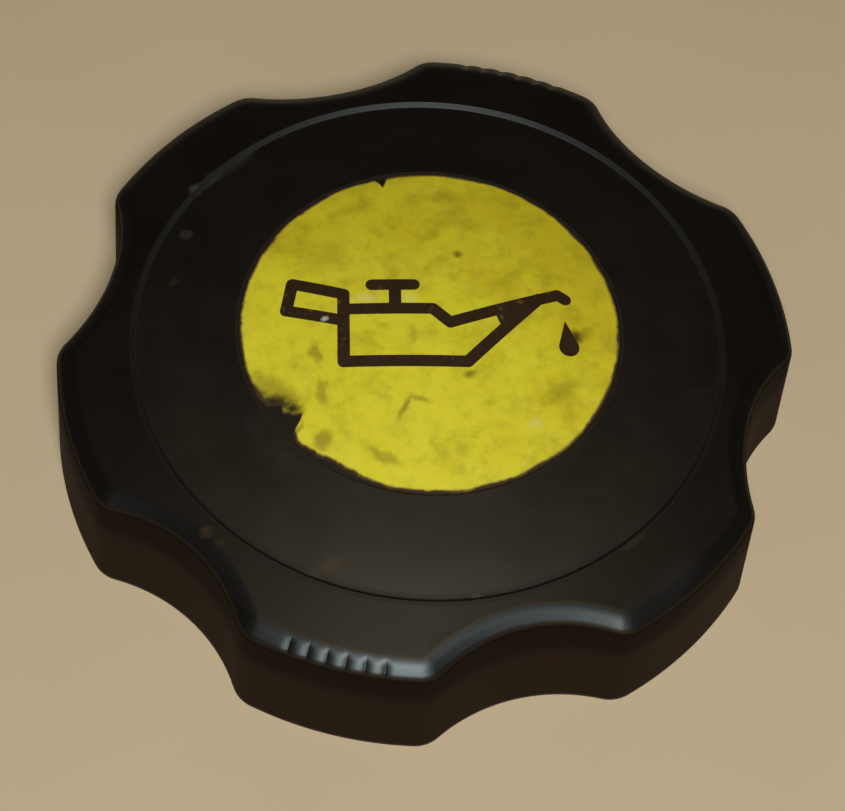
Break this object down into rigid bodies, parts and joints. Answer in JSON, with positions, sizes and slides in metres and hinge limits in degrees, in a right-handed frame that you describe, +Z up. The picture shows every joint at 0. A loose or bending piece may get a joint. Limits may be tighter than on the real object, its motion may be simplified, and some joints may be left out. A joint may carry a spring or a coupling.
{
  "type": "oil filler cap",
  "caption": "Round lobed hand-turned cap with a domed top, a yellow oil-can label and a hollow bayonet plug that closes an engine's oil filler neck on a rubber ring.",
  "frame": {"origin": "on the cap's axis, in the plane of the skirt's rim that the cap rests on", "axes": "+Z up along the cap's axis out of the domed top, +X along the sign's baseline towards its spout, +Y towards the top of the sign"},
  "size_m": [0.07, 0.07, 0.0185],
  "materials": {
    "black_plastic": "satin, worn",
    "seal_rubber": "matte",
    "yellow_label": "satin, stained",
    "black_print": "matte"
  },
  "bodies": {
    "root": {"cap_body": "black_plastic", "sealing_ring": "seal_rubber", "label_disc": "yellow_label", "label_sign": "black_print"}
  },
  "joints": []
}
